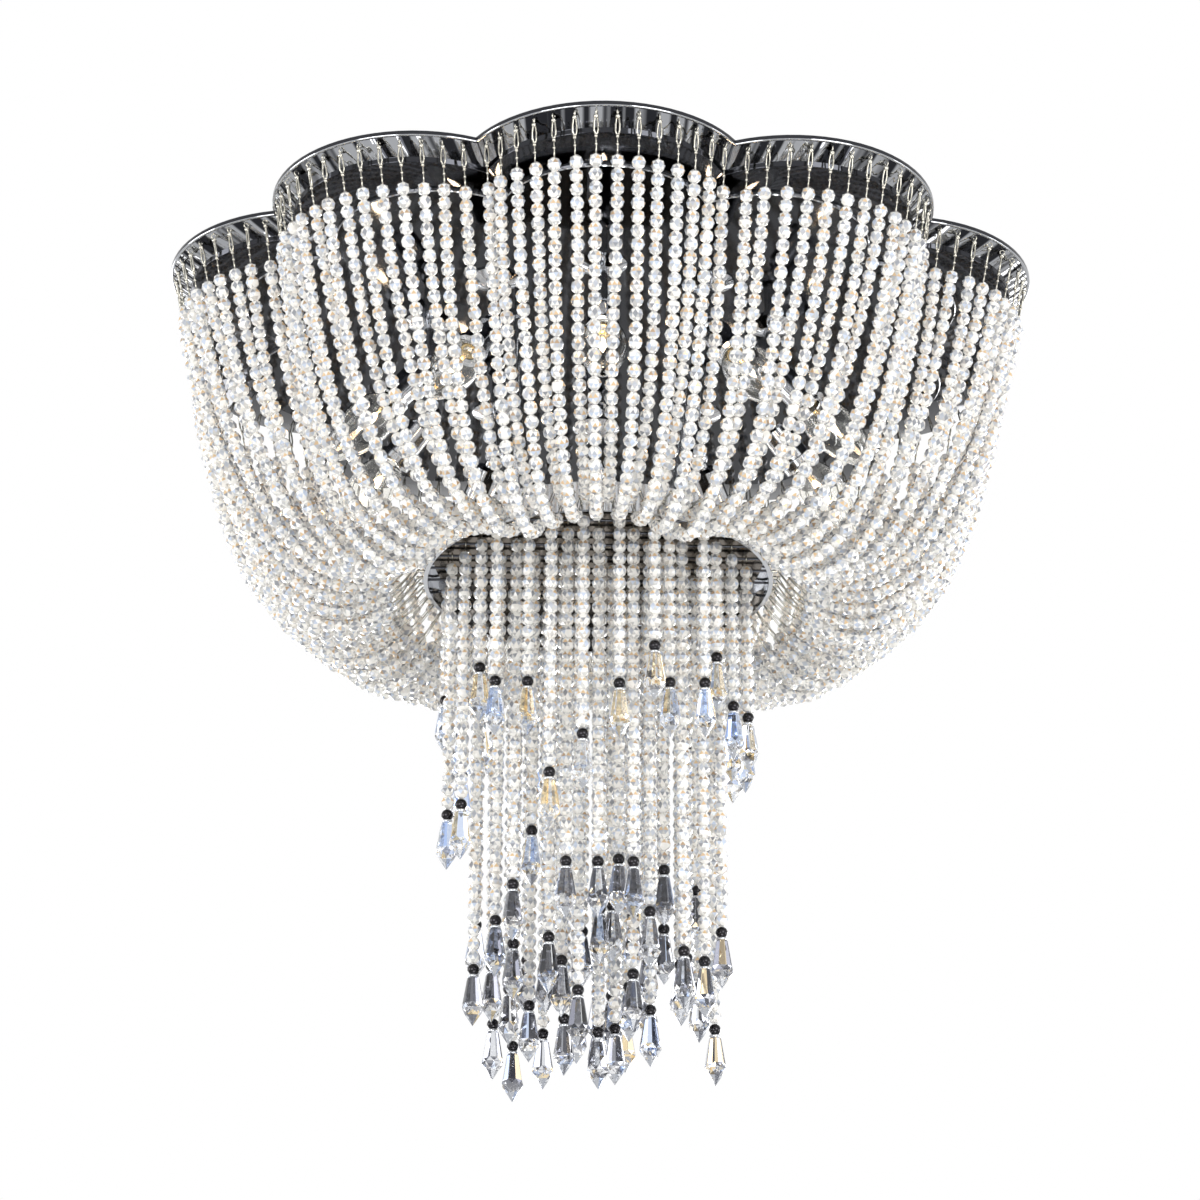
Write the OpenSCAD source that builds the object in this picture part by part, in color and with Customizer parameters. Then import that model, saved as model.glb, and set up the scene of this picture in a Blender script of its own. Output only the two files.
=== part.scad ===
// Crystal ceiling light: scalloped mirror pan, bowl of bead strands, ten candle lamps, hanging tail of drops.
// Millimetres. The ceiling is the plane z = 0, everything hangs below it, the front faces -Y.

/* [Pan] */
// Number of lobes round the edge
lobe_count = 10; // [8:1:12]
// Radius of the arc of one lobe
lobe_r = 104; // [90:1:120]
// Distance of each lobe centre from the middle
lobe_at = 221; // [200:1:240]
// Depth of the pan under the ceiling
pan_depth = 16; // [14:0.5:24]
// Height of the folded edge
lip_h = 3.6; // [2:0.2:6]
// How far in from the edge the folded edge reaches
lip_in = 2; // [1:0.2:4]
// How far in from the edge the sloping band ends
band_in = 15; // [10:1:24]
// Depth at which the sloping band ends
band_depth = 12; // [8:0.5:14]
// Thickness of the pan sheet
sheet = 1.2; // [0.8:0.1:2]
// Thickness of the sloping wall, measured level
wall_level = 2.4; // [1.5:0.1:3]

/* [Mirror panel] */
// Radius of the arc of one lobe of the mirror panel
panel_lobe_r = 75; // [65:1:85]
// Distance of its lobe centres from the middle
panel_lobe_at = 195; // [180:1:205]
// Thickness of the mirror panel
panel_t = 3; // [2:0.5:5]

/* [Ceiling fixing] */
// Length of each arm pair of the bracket
bracket_len = 214; // [200:1:260]
// Width of the bracket strip
bracket_w = 24; // [16:1:40]
// Thickness of the bracket strip
bracket_t = 2.5; // [2:0.5:4]
// Pitch circle of the four ceiling screws
screw_pcd = 120; // [80:5:160]
// Diameter of the ceiling screw holes
screw_hole_d = 5.5; // [4:0.1:7]
// Pitch circle of the four studs
stud_pcd = 184; // [170:2:200]
// Diameter of studs and hanger rods
stud_d = 6; // [5:1:8]
// Diameter of the cable hole in the bracket
cable_hole_d = 14; // [8:1:18]

/* [Bead strands] */
// Strands on each lobe
strands_per_lobe = 14; // [12:1:15]
// Diameter of a bead
bead_d = 10; // [8:0.5:10]
// Distance from bead to bead on the wire
bead_pitch = 9.5; // [9:0.1:11]
// Wire length of a long strand from pan to ring
long_wire = 356; // [340:1:370]
// Wire length of a short strand from pan to ring
short_wire = 336; // [320:1:350]
// Length of the link between pan and first bead
link_len = 30; // [24:1:40]
// Least length of bare wire between the last bead and the ring
bare_len = 30; // [20:1:50]
// Distance of the strands from the pan edge
strand_in = 4; // [3:0.5:8]
// Depth at which the strands start
strand_top = 6; // [5:0.5:10]
// Diameter of the bare wire
wire_d = 1.2; // [0.8:0.1:2]
// Free gap between neighbouring runs of beads
run_gap = 0.3; // [0.2:0.1:1]

/* [Lower ring] */
// Outer radius of the lower ring
ring_r = 127; // [115:1:140]
// Wall of the lower ring
ring_wall = 3; // [2:0.5:5]
// Depth of the top of the lower ring
ring_top = 190; // [170:1:220]
// Height of the lower ring
ring_h = 22; // [16:1:30]
// Thickness of the mirror tray on the ring
tray_t = 2; // [1:0.5:4]
// How far the strand pins stand out of the ring
pin_len = 4.6; // [3:0.2:8]

/* [Tail] */
// Rows of tail strands on each side of the middle row
rows_each_side = 5; // [3:1:5]
// Distance from row to row
row_pitch = 21; // [19:0.5:24]
// Distance from strand to strand in a row
tail_pitch = 24; // [20:0.5:28]
// Largest distance of a tail strand from the middle
tail_r = 118; // [100:1:119]
// Distance from the middle where the short outer strands begin
outer_zone = 95; // [90:1:100]
// Fewest beads on an outer strand
outer_beads = 9; // [6:1:12]
// Most beads added to an outer strand
outer_more = 11; // [4:1:12]
// Distance from the middle where the middling strands begin
middle_zone = 60; // [50:1:70]
// Fewest beads on a middling strand
middle_beads = 22; // [14:1:24]
// Most beads added to a middling strand
middle_more = 13; // [6:1:14]
// Fewest beads on an inner strand
inner_beads = 27; // [20:1:30]
// Most beads added to an inner strand
inner_more = 9; // [4:1:10]
// Depth of the rods that carry the rows
rod_depth = 200; // [196:1:204]
// Diameter of the rods that carry the rows
rod_d = 2; // [1.5:0.1:3]
// Length of a glass drop
drop_len = 36; // [24:1:50]
// Width of a glass drop
drop_w = 15.5; // [12:0.5:18]
// Diameter of the ball cap on a drop
cap_d = 9; // [7:0.5:10]

/* [Lamps] */
// Distance of each lamp stem from the middle
lamp_at = 132; // [125:1:150]
// Depth of the knuckle at the end of the stem
lamp_drop = 56; // [45:1:70]
// Lean of the lamp outwards from straight down
lamp_lean = 40; // [0:1:60]
// Diameter of the lamp stem
stem_d = 8; // [6:0.5:12]
// Diameter of the cover dish at the stem
dish_d = 36; // [24:1:40]
// Diameter of the lampholder mouth
holder_d = 26; // [22:0.5:30]
// Widest diameter of the candle bulb
bulb_d = 35; // [30:1:38]

/* [Hidden] */
ease = 0.2;
bolt_gap = 0.1;
level_lap = 0.15;
band_top_r = lobe_r - lip_in;
band_low_r = lobe_r - band_in;
band_ball_z = (band_top_r ^ 2 - band_low_r ^ 2 - band_depth ^ 2 + lip_h ^ 2) / 2 / (band_depth - lip_h);
band_ball_r = sqrt(band_top_r ^ 2 + (lip_h + band_ball_z) ^ 2);
bead_r = bead_d / 2;
neck_r = 2;
tip_r = 0.35;
half_step = 180 / lobe_count;
cusp_r = lobe_at * cos(half_step) + sqrt(pow(lobe_r, 2) - pow(lobe_at * sin(half_step), 2));
half_arc = atan2(cusp_r * sin(half_step), cusp_r * cos(half_step) - lobe_at);
panel_face = pan_depth + panel_t;
pan_floor = pan_depth - sheet;
ring_mid = rod_depth;
ring_in = ring_r - ring_wall;
strand_end_r = ring_r + pin_len;
strand_shift = 4;
rod_at = [60, 52.5];
nut_t = 3;
long_bends = [5, 4, 4, 4, 3, 3];
short_bends = [5, 4, 3, 3, 3, 3];
row_count = 2 * rows_each_side + 1;
eye_r = 2.7;
eye_hole_r = 1.3;
eye_t = 1.4;
eye_neck = 6;
cap_total = 9.5;
knuckle_r = 8;
collar_end = 10;
holder_end = 45;
socket_start = 18;
socket_r = 7;
bulb_gap = 0.1;
glass_start = holder_end + 0.5;
glass_len = 74.5;
glass_wall = 1;

function sinh(v) = (exp(v) - exp(-v)) / 2;
function cosh(v) = (exp(v) + exp(-v)) / 2;
function asinh(v) = ln(v + sqrt(v * v + 1));
function atanh(v) = ln((1 + v) / (1 - v)) / 2;
function sum_to(list, n) = n <= 0 ? 0 : list[n - 1] + sum_to(list, n - 1);
function lobe_turn(k) = -90 + k * 360 / lobe_count;

// Hanging curve of one strand: level span h, height difference rise, wire length len.
function sag_solve(u, ratio, n) =
    n == 0 ? u : sag_solve(u - (sinh(u) - ratio * u) / (cosh(u) - ratio), ratio, n - 1);
function sag_u(h, rise, len) =
    let (ratio = sqrt(len * len - rise * rise) / h)
    sag_solve(sqrt(6 * (ratio - 1)), ratio, 30);
function curve_a(h, rise, len) = h / (2 * sag_u(h, rise, len));
function curve_low(h, rise, len) = h / 2 - curve_a(h, rise, len) * atanh(rise / len);
function curve_point(a, low, z0, s) =
    let (x = a * asinh(s / a + sinh(-low / a)) + low)
    [x, z0 + a * (cosh((x - low) / a) - cosh(low / a))];

// Where strand i of a lobe starts on the pan and ends on the lower ring, lobe pointing along X.
function strand_arc(i) = ((i + 0.5) / strands_per_lobe * 2 - 1) * half_arc;
function strand_hook(i) =
    [lobe_at + (lobe_r - strand_in) * cos(strand_arc(i)), (lobe_r - strand_in) * sin(strand_arc(i))];
function ring_turn(i) = ((i + 0.5) / strands_per_lobe - 0.5) * 2 * half_step;
function strand_foot(i) = [strand_end_r * cos(ring_turn(i)), strand_end_r * sin(ring_turn(i))];
function is_long(i) = i % 2 == 0;
function foot_z(i) = -ring_mid + (is_long(i) ? -strand_shift : strand_shift);
function wire_len(i) = is_long(i) ? long_wire : short_wire;
function bends(i) = is_long(i) ? long_bends : short_bends;
function bead_count(i) = floor((wire_len(i) - link_len - bare_len) / bead_pitch);
function runs(i) = concat([bead_count(i) - sum_to(bends(i), len(bends(i)))], bends(i));

// Points of strand i in its own upright plane, from link top down to the ring.
function strand_points(i) =
    let (
        gap = strand_hook(i) - strand_foot(i),
        h = norm(gap),
        rise = -strand_top - foot_z(i),
        a = curve_a(h, rise, wire_len(i)),
        low = curve_low(h, rise, wire_len(i)),
        marks = [
            wire_len(i),
            for (j = [0:len(runs(i))]) wire_len(i) - link_len - bead_pitch * sum_to(runs(i), j),
            0
        ]
    )
    [for (s = marks) curve_point(a, low, foot_z(i), s)];

module in_strand_plane(i) {
    gap = strand_hook(i) - strand_foot(i);
    translate([strand_foot(i)[0], strand_foot(i)[1], 0])
    rotate([0, 0, atan2(gap[1], gap[0])])
    children();
}

// Puts a piece that points down the Z axis onto the line from p to q.
module along(p, q) {
    translate([p[0], 0, p[1]])
    rotate([0, atan2(p[0] - q[0], p[1] - q[1]), 0])
    children();
}

module each_lobe() {
    for (k = [0:lobe_count - 1])
        rotate([0, 0, lobe_turn(k)])
        children();
}

module each_quarter(r) {
    for (q = [0:3])
        rotate([0, 0, q * 90])
        translate([r, 0, 0])
        children();
}

module each_rod() {
    for (sx = [-1, 1])
        for (sy = [-1, 1])
            translate([sx * rod_at[0], sy * rod_at[1], 0])
            children();
}

// Scalloped block: one round block per lobe and one in the middle.
module scallop(z_low, z_high, r) {
    translate([0, 0, z_low])
    linear_extrude(z_high - z_low)
    union() {
        circle(r = lobe_at - 8, $fn = 96);
        each_lobe()
        translate([lobe_at, 0])
        circle(r = r, $fn = 96);
    }
}

// Sloping band: a slice of ten large balls, one over each lobe.
module band_block(z_low, z_high) {
    intersection() {
        translate([0, 0, z_low])
        cylinder(h = z_high - z_low, r = lobe_at + lobe_r + 20, $fn = 96);
        union() {
            each_lobe()
            translate([lobe_at, 0, band_ball_z])
            sphere(r = band_ball_r, $fn = 200);
        }
    }
}

// Ceiling bracket
module ceiling_bracket() {
    color("silver")
    translate([0, 0, -bracket_t])
    difference() {
        union() {
            translate([-bracket_len / 2, -bracket_w / 2, 0])
            cube([bracket_len, bracket_w, bracket_t]);
            translate([-bracket_w / 2, -bracket_len / 2, 0])
            cube([bracket_w, bracket_len, bracket_t]);
        }
        each_quarter(screw_pcd / 2)
        translate([0, 0, -1])
        cylinder(h = bracket_t + 2, d = screw_hole_d, $fn = 48);
        translate([0, 0, -1])
        cylinder(h = bracket_t + 2, d = cable_hole_d, $fn = 48);
    }
}

module bracket_studs() {
    color("silver")
    each_quarter(stud_pcd / 2)
    translate([0, 0, -panel_face - 6])
    cylinder(h = panel_face + 6 - bracket_t, d = stud_d, $fn = 48);
}

// Round holes through pan and panel for studs, hanger rods and lamp stems.
module fixing_holes() {
    each_quarter(stud_pcd / 2)
    translate([0, 0, -panel_face - 1])
    cylinder(h = panel_face, d = stud_d + 2 * ease, $fn = 48);
    each_rod()
    translate([0, 0, -panel_face - 1])
    cylinder(h = panel_face, d = stud_d + 2 * ease, $fn = 48);
    each_lobe()
    translate([lamp_at, 0, -panel_face - 1])
    cylinder(h = panel_face, d = stem_d + 2 * ease, $fn = 48);
}

// Scalloped pan
module canopy_pan() {
    color("gainsboro")
    difference() {
        union() {
            scallop(-lip_h, 0, lobe_r);
            band_block(-band_depth, -lip_h + level_lap);
            scallop(-pan_depth, -band_depth + level_lap, lobe_r - band_in - level_lap);
        }
        scallop(-pan_floor, 1, lobe_r - band_in - wall_level);
        scallop(-pan_floor + 6.3, 1, lobe_r - band_in - wall_level + 5);
        scallop(-pan_floor + 9.3, 1, lobe_r - lip_in - wall_level - 3);
        fixing_holes();
    }
}

module mirror_panel() {
    color("lightsteelblue")
    difference() {
        translate([0, 0, -panel_face])
        linear_extrude(panel_t)
        union() {
            circle(r = panel_lobe_at - 5, $fn = 96);
            each_lobe()
            translate([panel_lobe_at, 0])
            circle(r = panel_lobe_r, $fn = 96);
        }
        fixing_holes();
    }
}

module cap_nuts() {
    color("gold")
    each_quarter(stud_pcd / 2)
    translate([0, 0, -panel_face])
    difference() {
        union() {
            translate([0, 0, -1.2])
            cylinder(h = 1.2, d = 14, $fn = 48);
            translate([0, 0, -6.2])
            cylinder(h = 5.1, d = 11.5, $fn = 6);
            translate([0, 0, -6.2])
            sphere(d = 9.6, $fn = 48);
        }
        translate([0, 0, -7])
        cylinder(h = 8, d = stud_d + 2 * bolt_gap, $fn = 48);
    }
}

module terminal_block() {
    color("white")
    translate([0, 38, -pan_floor])
    difference() {
        translate([-24, -8, 0])
        cube([48, 16, 10]);
        for (i = [-2:2])
            translate([i * 9, -9, 5])
            rotate([-90, 0, 0])
            cylinder(h = 18, d = 3.4, $fn = 32);
    }
}

// Hanger rods between pan and lower ring
module hanger_rods() {
    color("silver")
    each_rod()
    translate([0, 0, -ring_top - tray_t - nut_t - 0.5])
    cylinder(h = ring_top + tray_t + nut_t + 0.5 - pan_floor + nut_t + 1, d = stud_d, $fn = 48);
}

module hex_nut() {
    difference() {
        cylinder(h = nut_t, d = 11.5, $fn = 6);
        translate([0, 0, -1])
        cylinder(h = nut_t + 2, d = stud_d + 2 * bolt_gap, $fn = 48);
    }
}

module rod_nuts() {
    color("silver")
    each_rod() {
        translate([0, 0, -pan_floor])
        hex_nut();
        translate([0, 0, -panel_face - nut_t])
        hex_nut();
        translate([0, 0, -ring_top])
        hex_nut();
        translate([0, 0, -ring_top - tray_t - nut_t])
        hex_nut();
    }
}

// Lamps
module cover_dishes() {
    color("silver")
    each_lobe()
    translate([lamp_at, 0, -panel_face])
    rotate_extrude($fn = 64)
    polygon([
        [stem_d / 2 + bolt_gap, 0],
        [dish_d / 2, 0],
        [dish_d / 2, -1.2],
        [stem_d / 2 + 3, -6],
        [stem_d / 2 + bolt_gap, -6]
    ]);
}

module lamp_stems() {
    color("silver")
    each_lobe()
    translate([lamp_at, 0, 0])
    union() {
        translate([0, 0, -lamp_drop])
        difference() {
            cylinder(h = lamp_drop - pan_floor + 6, d = stem_d, $fn = 48);
            translate([0, 0, 10])
            cylinder(h = lamp_drop, d = stem_d - 2, $fn = 48);
        }
        translate([0, 0, -lamp_drop])
        sphere(r = knuckle_r, $fn = 48);
        translate([0, 0, -lamp_drop])
        rotate([0, -lamp_lean, 0])
        translate([0, 0, -collar_end])
        cylinder(h = collar_end, r = 5, $fn = 48);
    }
}

module stem_nuts() {
    color("gold")
    each_lobe()
    translate([lamp_at, 0, -pan_floor])
    difference() {
        cylinder(h = nut_t, d = 15, $fn = 6);
        translate([0, 0, -1])
        cylinder(h = nut_t + 2, d = stem_d + 2 * bolt_gap, $fn = 48);
    }
}

module lamp_place(k) {
    rotate([0, 0, lobe_turn(k)])
    translate([lamp_at, 0, -lamp_drop])
    rotate([0, -lamp_lean, 0])
    children();
}

module lampholders() {
    color("ivory")
    for (k = [0:lobe_count - 1])
        lamp_place(k)
        rotate_extrude($fn = 64)
        polygon([
            [0, -collar_end],
            [8, -collar_end],
            [11, -collar_end - 3],
            [11, -holder_end + 6],
            [holder_d / 2, -holder_end + 5],
            [holder_d / 2, -holder_end],
            [socket_r + bulb_gap, -holder_end],
            [socket_r + bulb_gap, -socket_start],
            [0, -socket_start]
        ]);
}

// Outline of the candle bulb: a smooth curve with four guide points.
function bulb_curve(t) = [
    7 * pow(1 - t, 3) + 3 * 25 * t * pow(1 - t, 2) + 3 * 18 * t * t * (1 - t),
    3 * 10 * t * pow(1 - t, 2) + 3 * 50 * t * t * (1 - t) + glass_len * pow(t, 3)
];
bulb_steps = 10;
bulb_fit = bulb_d / 35;

module bulb_glass() {
    rotate_extrude($fn = 64)
    polygon([
        for (n = [0:bulb_steps])
            let (p = bulb_curve(n / bulb_steps))
            [p[0] * bulb_fit, -glass_start - p[1]],
        for (n = [bulb_steps - 1:-1:0])
            let (p = bulb_curve(n / bulb_steps))
            [max(0, p[0] * bulb_fit - glass_wall), -glass_start - p[1] * 0.98]
    ]);
}

module bulb_cap() {
    rotate_extrude($fn = 64)
    polygon([
        [0, -socket_start - 0.5],
        [2.5, -socket_start - 0.5],
        [3, -socket_start - 2],
        [socket_r - 0.5, -socket_start - 3],
        [socket_r, -socket_start - 4],
        [socket_r, -glass_start + bulb_gap],
        [0, -glass_start + bulb_gap]
    ]);
}

// Stem, lead wire and the coil drawn as the round room it takes.
module bulb_filament() {
    rotate_extrude($fn = 32)
    polygon([
        [0, -glass_start],
        [4, -glass_start],
        [1.5, -glass_start - 12],
        [0.6, -glass_start - 13],
        [0.6, -glass_start - 16],
        [2.2, -glass_start - 17],
        [2.2, -glass_start - 44],
        [0, -glass_start - 45]
    ]);
}

module bulb(k) {
    color("khaki")
    lamp_place(k) {
        bulb_glass();
        bulb_cap();
        bulb_filament();
    }
}

// Lower ring, tray and rods
function row_y(k) = k * row_pitch;
function rod_half(k) = sqrt(pow(ring_r - ring_wall / 2, 2) - pow(row_y(k), 2));

module lower_ring() {
    color("silver")
    difference() {
        union() {
            translate([0, 0, -ring_top - ring_h])
            difference() {
                cylinder(h = ring_h, r = ring_r, $fn = 96);
                translate([0, 0, -1])
                cylinder(h = ring_h + 2, r = ring_in, $fn = 96);
            }
            translate([0, 0, -ring_top - tray_t - 1.5])
            difference() {
                cylinder(h = 1.5, r = ring_in + 1, $fn = 96);
                translate([0, 0, -1])
                cylinder(h = 4, r = ring_in - 4, $fn = 96);
            }
        }
        for (k = [-rows_each_side:rows_each_side])
            translate([-ring_r - 5, row_y(k), -rod_depth])
            rotate([0, 90, 0])
            cylinder(h = 2 * ring_r + 10, d = rod_d + 2 * bolt_gap, $fn = 32);
    }
}

module tail_tray() {
    color("lightsteelblue")
    difference() {
        translate([0, 0, -ring_top - tray_t])
        cylinder(h = tray_t, r = ring_in - ease, $fn = 96);
        each_rod()
        translate([0, 0, -ring_top - tray_t - 1])
        cylinder(h = tray_t + 2, d = stud_d + 2 * ease, $fn = 48);
    }
}

module tail_rods() {
    color("silver")
    for (k = [-rows_each_side:rows_each_side])
        translate([-rod_half(k), row_y(k), -rod_depth])
        rotate([0, 90, 0])
        cylinder(h = 2 * rod_half(k), d = rod_d, $fn = 32);
}

// Bowl of bead strands
module bead_run(count, length) {
    rotate_extrude($fn = 32)
    polygon([
        [0, 0],
        [tip_r, 0],
        for (i = [0:count - 1]) each [
            [bead_r, -(i + 0.5) * length / count],
            [i == count - 1 ? tip_r : neck_r, -(i + 1) * length / count]
        ],
        [0, -length]
    ]);
}

module strand_beads(i) {
    pts = strand_points(i);
    in_strand_plane(i)
    for (j = [0:len(runs(i)) - 1])
        along(pts[j + 1], pts[j + 2])
        translate([0, 0, -run_gap / 2])
        bead_run(runs(i)[j], norm(pts[j + 1] - pts[j + 2]) - run_gap);
}

module bead_lobe(k) {
    color("azure")
    rotate([0, 0, lobe_turn(k)])
    for (i = [0:strands_per_lobe - 1])
        strand_beads(i);
}

// Headed wire pin from the pan band to the first bead, with one small ball on it.
link_rise = 0.3;
link_ball_d = 2.8;
module rim_link(length) {
    union() {
        translate([0, 0, -length])
        cylinder(h = length + link_rise, d = wire_d, $fn = 32);
        translate([0, 0, -length + 5])
        sphere(d = link_ball_d, $fn = 32);
    }
}

module rim_links() {
    color("gold")
    each_lobe()
    for (i = [0:strands_per_lobe - 1])
        in_strand_plane(i)
        along(strand_points(i)[0], strand_points(i)[1])
        rim_link(norm(strand_points(i)[0] - strand_points(i)[1]) - 0.1);
}

pin_ball_r = 1.4;

module ring_pins() {
    color("gold")
    each_lobe()
    for (i = [0:strands_per_lobe - 1])
        rotate([0, 0, ring_turn(i)])
        translate([0, 0, foot_z(i)])
        union() {
            translate([ring_r, 0, 0])
            rotate([0, 90, 0])
            cylinder(h = pin_len, r = 0.8, $fn = 32);
            translate([strand_end_r, 0, 0])
            sphere(r = pin_ball_r, $fn = 32);
        }
}

module strand_wires() {
    color("silver")
    each_lobe()
    for (i = [0:strands_per_lobe - 1])
        in_strand_plane(i)
        bare_wire(strand_points(i)[len(runs(i)) + 1], strand_points(i)[len(runs(i)) + 2]);
}

module bare_wire(p, q) {
    along(p, q)
    translate([0, 0, -norm(p - q) + pin_ball_r + bolt_gap])
    cylinder(h = norm(p - q) - pin_ball_r - 2 * bolt_gap, d = wire_d, $fn = 32);
}

// Tail: rows of strands hung on straight rods
function row_shift(k) = abs(k) % 2 == 1 ? 0.5 : 0;
function row_reach(k) = sqrt(pow(tail_r, 2) - pow(row_y(k), 2));
function row_last(k) = floor(row_reach(k) / tail_pitch - row_shift(k));
function row_first(k) = -row_last(k) - 2 * row_shift(k);
function tail_x(k, j) = (j + row_shift(k)) * tail_pitch;
function spread(k, j) = ((7 * (j + 20) + 5 * (k + 20) + 3 * (j + 20) * (k + 20)) % 11) / 10;
function tail_beads(k, j) =
    let (r = norm([tail_x(k, j), row_y(k)]))
    round(
        r >= outer_zone ? outer_beads + outer_more * spread(k, j)
        : r >= middle_zone ? middle_beads + middle_more * spread(k, j)
        : inner_beads + inner_more * spread(k, j)
    );

module in_row(k) {
    for (j = [row_first(k):row_last(k)])
        let ($beads = tail_beads(k, j))
        translate([tail_x(k, j), row_y(k), -rod_depth])
        children();
}

module tail_strand(count) {
    union() {
        rotate([0, 90, 0])
        difference() {
            cylinder(h = eye_t, r = eye_r, center = true, $fn = 32);
            cylinder(h = eye_t + 2, r = eye_hole_r, center = true, $fn = 32);
        }
        rotate_extrude($fn = 32)
        polygon([
            [0, -2],
            [0.6, -2],
            [0.6, -eye_neck],
            for (i = [0:count - 1]) each [
                [bead_r, -eye_neck - (i + 0.5) * bead_pitch],
                [i == count - 1 ? tip_r : neck_r, -eye_neck - (i + 1) * bead_pitch]
            ],
            [0, -eye_neck - count * bead_pitch]
        ]);
    }
}

drop_sides = 8;
drop_top_r = 3.6;
drop_belly = 24;

module glass_drop() {
    step = 360 / drop_sides;
    polyhedron(
        points = [
            for (i = [0:drop_sides - 1]) [drop_top_r * cos(i * step), drop_top_r * sin(i * step), 0],
            for (i = [0:drop_sides - 1]) [drop_w / 2 * cos(i * step), drop_w / 2 * sin(i * step), -drop_belly],
            [0, 0, -drop_len]
        ],
        faces = [
            [for (i = [drop_sides - 1:-1:0]) i],
            for (i = [0:drop_sides - 1])
                [i, (i + 1) % drop_sides, drop_sides + (i + 1) % drop_sides, drop_sides + i],
            for (i = [0:drop_sides - 1])
                [drop_sides + i, drop_sides + (i + 1) % drop_sides, 2 * drop_sides]
        ]
    );
}

module drop_with_cap() {
    union() {
        translate([0, 0, -bolt_gap - cap_d / 2])
        sphere(d = cap_d, $fn = 48);
        translate([0, 0, -cap_total + bolt_gap])
        cylinder(h = 3, r = 3.9, $fn = 48);
    }
    translate([0, 0, -cap_total])
    glass_drop();
}

module tail_row(n) {
    color("azure")
    in_row(n - rows_each_side - 1)
    tail_strand($beads);
}

module drop_row(n) {
    color("lightcyan")
    in_row(n - rows_each_side - 1)
    translate([0, 0, -eye_neck - $beads * bead_pitch])
    drop_with_cap();
}

ceiling_bracket();
bracket_studs();
canopy_pan();
mirror_panel();
cap_nuts();
terminal_block();
hanger_rods();
rod_nuts();
cover_dishes();
lamp_stems();
stem_nuts();
lampholders();
lower_ring();
tail_tray();
tail_rods();
rim_links();
ring_pins();
strand_wires();
bead_lobe(0);  // bead_lobe_1
bead_lobe(1);  // bead_lobe_2
bead_lobe(2);  // bead_lobe_3
bead_lobe(3);  // bead_lobe_4
bead_lobe(4);  // bead_lobe_5
bead_lobe(5);  // bead_lobe_6
bead_lobe(6);  // bead_lobe_7
bead_lobe(7);  // bead_lobe_8
bead_lobe(8);  // bead_lobe_9
bead_lobe(9);  // bead_lobe_10
bulb(0);  // bulb_1
bulb(1);  // bulb_2
bulb(2);  // bulb_3
bulb(3);  // bulb_4
bulb(4);  // bulb_5
bulb(5);  // bulb_6
bulb(6);  // bulb_7
bulb(7);  // bulb_8
bulb(8);  // bulb_9
bulb(9);  // bulb_10
tail_row(1);  // tail_row_1
tail_row(2);  // tail_row_2
tail_row(3);  // tail_row_3
tail_row(4);  // tail_row_4
tail_row(5);  // tail_row_5
tail_row(6);  // tail_row_6
tail_row(7);  // tail_row_7
tail_row(8);  // tail_row_8
tail_row(9);  // tail_row_9
tail_row(10);  // tail_row_10
tail_row(11);  // tail_row_11
drop_row(1);  // drop_row_1
drop_row(2);  // drop_row_2
drop_row(3);  // drop_row_3
drop_row(4);  // drop_row_4
drop_row(5);  // drop_row_5
drop_row(6);  // drop_row_6
drop_row(7);  // drop_row_7
drop_row(8);  // drop_row_8
drop_row(9);  // drop_row_9
drop_row(10);  // drop_row_10
drop_row(11);  // drop_row_11
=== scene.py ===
"""Crystal ceiling light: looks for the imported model, one piece for each group of parts.

Every shape is worked out in millimetres as whole numpy arrays and scaled to metres at the end.
The ceiling is z = 0, the light hangs below it and its front faces -Y.
"""

import bpy
import numpy as np
from mathutils import Matrix, Vector


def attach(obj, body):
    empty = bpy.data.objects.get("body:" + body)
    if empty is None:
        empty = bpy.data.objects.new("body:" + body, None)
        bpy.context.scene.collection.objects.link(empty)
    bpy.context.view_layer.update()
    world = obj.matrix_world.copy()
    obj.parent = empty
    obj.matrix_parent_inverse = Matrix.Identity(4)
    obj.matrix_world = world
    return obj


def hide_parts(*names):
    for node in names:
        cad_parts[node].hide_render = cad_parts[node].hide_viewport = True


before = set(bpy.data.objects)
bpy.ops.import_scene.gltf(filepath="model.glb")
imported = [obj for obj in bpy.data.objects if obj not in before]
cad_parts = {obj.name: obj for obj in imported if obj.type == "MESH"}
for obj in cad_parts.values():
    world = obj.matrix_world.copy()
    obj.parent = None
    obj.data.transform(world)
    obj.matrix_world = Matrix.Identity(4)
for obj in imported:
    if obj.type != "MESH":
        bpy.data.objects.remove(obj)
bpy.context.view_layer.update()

# Sizes, as in the part's source, in millimetres
# Pan: ten lobes, each an arc of LOBE_R about a point LOBE_AT from the middle
LOBES = 10
HALF = np.pi / LOBES
LOBE_R, LOBE_AT = 104.0, 221.0
LIP_H, LIP_IN, BAND_IN, BAND_DEPTH, PAN_DEPTH, SHEET = 3.6, 2.0, 15.0, 12.0, 16.0, 1.2
PANEL_R, PANEL_AT, PANEL_T = 75.0, 195.0, 3.0
# Bowl: wires of two lengths by turns, from hooks on the pan to pins on the ring
PER_LOBE = 14
PITCH = 9.5
LONG_WIRE, SHORT_WIRE, LINK_LEN = 356.0, 336.0, 30.0
LONG_BEADS, SHORT_BEADS = 31, 29
STRAND_IN, STRAND_TOP = 4.0, 6.0
RING_R, PIN_LEN, ROD_DEPTH, STRAND_SHIFT = 127.0, 4.6, 200.0, 4.0
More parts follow.
